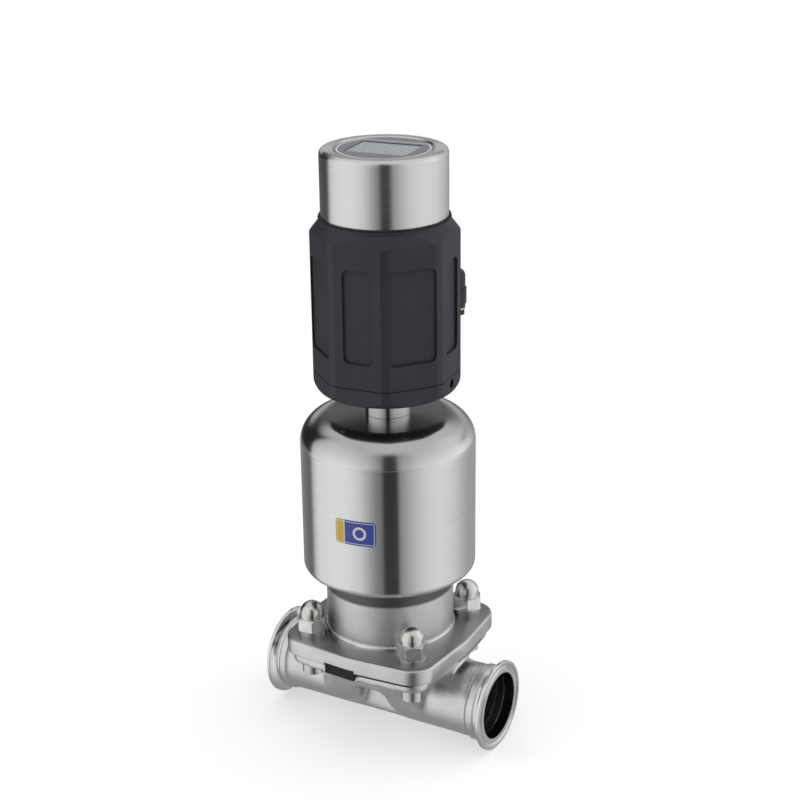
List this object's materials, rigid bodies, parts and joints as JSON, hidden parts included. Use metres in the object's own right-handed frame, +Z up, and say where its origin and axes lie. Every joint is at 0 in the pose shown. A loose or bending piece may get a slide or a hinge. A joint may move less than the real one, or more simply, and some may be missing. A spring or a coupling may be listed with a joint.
{
  "type": "pneumatic weir diaphragm valve",
  "caption": "Hygienic weir diaphragm valve with clamp ferrules, a spring-closed pneumatic piston actuator and a round positioner with a bayonet cap and display on top.",
  "frame": {"origin": "under the stem axis, at the lowest level of the ferrules, in the middle between the ferrule faces", "axes": "+Z up along the stem, +X along the pipe out of the outlet, +Y across the pipe to the back"},
  "size_m": [0.175, 0.123, 0.4217],
  "materials": {
    "cast_body": "cast stainless steel, bead-blasted and passivated, ferrules polished",
    "cast_bonnet": "cast stainless steel, bead-blasted, edges smoothed",
    "diaphragm_rubber": "moulded black EPDM rubber, matt",
    "stem_steel": "turned stainless steel, fine machined",
    "bolt_steel": "stainless screws, plain",
    "nut_steel": "polished stainless dome nuts, slightly warm",
    "bush_bronze": "sintered bronze, plain",
    "seal_rubber": "black elastomer, matt",
    "base_steel": "turned steel, plain",
    "shell_steel": "deep-drawn stainless steel, fine brushed round the axis",
    "piston_aluminium": "machined aluminium, plain",
    "spring_steel": "coated spring steel, grey",
    "collar_steel": "turned stainless steel, bright",
    "magnet_dark": "plastic-bonded magnet, matt dark grey",
    "housing_plastic": "moulded black plastic, fine matt grain",
    "fitting_plastic": "moulded black plastic, satin",
    "fitting_brass": "nickel-brass ring, pale",
    "inner_plastic": "moulded dark plastic",
    "board_green": "solder-masked board, green",
    "connector_nickel": "nickel-plated brass, bright",
    "cap_steel": "turned stainless steel, brushed round the axis",
    "lens_clear": "clear hard-coated lens",
    "label_film": "printed film, dark blue-grey, satin",
    "lcd_grey": "blank display, grey behind a polariser"
  },
  "bodies": {
    "body": {"valve_body": "cast_body", "diaphragm": "diaphragm_rubber", "bonnet": "cast_bonnet", "flange_bolts": "bolt_steel", "lock_washers": "bolt_steel", "dome_nuts": "nut_steel", "guide_bush": "bush_bronze", "spindle_seal": "seal_rubber", "actuator_base": "base_steel", "base_screws": "bolt_steel", "base_seal": "seal_rubber", "actuator_shell": "shell_steel", "spring_plate": "base_steel", "outer_spring": "spring_steel", "inner_spring": "spring_steel", "neck_adapter": "collar_steel", "adapter_nut": "base_steel", "positioner_base": "housing_plastic", "base_nut": "base_steel", "cover_screws": "bolt_steel", "cover_seal": "seal_rubber", "positioner_housing": "housing_plastic", "pilot_block": "piston_aluminium", "pilot_valves": "inner_plastic", "main_board": "board_green", "position_sensor": "inner_plastic", "elbow_body": "fitting_plastic", "elbow_ring": "fitting_brass", "signal_connector": "connector_nickel", "cap_gasket": "seal_rubber"},
    "stem": {"diaphragm_stud": "stem_steel", "compressor": "stem_steel", "compressor_pin": "stem_steel", "spindle": "stem_steel", "piston": "piston_aluminium", "piston_seal": "seal_rubber", "piston_nut": "stem_steel", "feedback_rod": "stem_steel", "sensor_magnet": "magnet_dark"},
    "cap": {"positioner_cap": "cap_steel", "window_lens": "lens_clear", "display_label": "label_film", "lcd_panel": "lcd_grey", "display_foam": "seal_rubber", "display_board": "board_green"},
    "sleeve": {"release_sleeve": "fitting_plastic"}
  },
  "joints": [
    {"name": "stem_stroke", "type": "slide", "parent": "body", "child": "stem", "axis": [0, 0, 1], "range_m": [0, 0.016], "stiffness_N_per_m": 3000, "springref_m": -0.005, "deforming": ["diaphragm", "outer_spring", "inner_spring"]},
    {"name": "cap_twist", "type": "hinge", "parent": "body", "child": "cap", "pos_m": [0, 0, 0.3772], "axis": [0, 0, 1], "range_deg": [0, 30]},
    {"name": "sleeve_press", "type": "slide", "parent": "body", "child": "sleeve", "axis": [0, 0, 1], "range_m": [0, 0.001]}
  ]
}
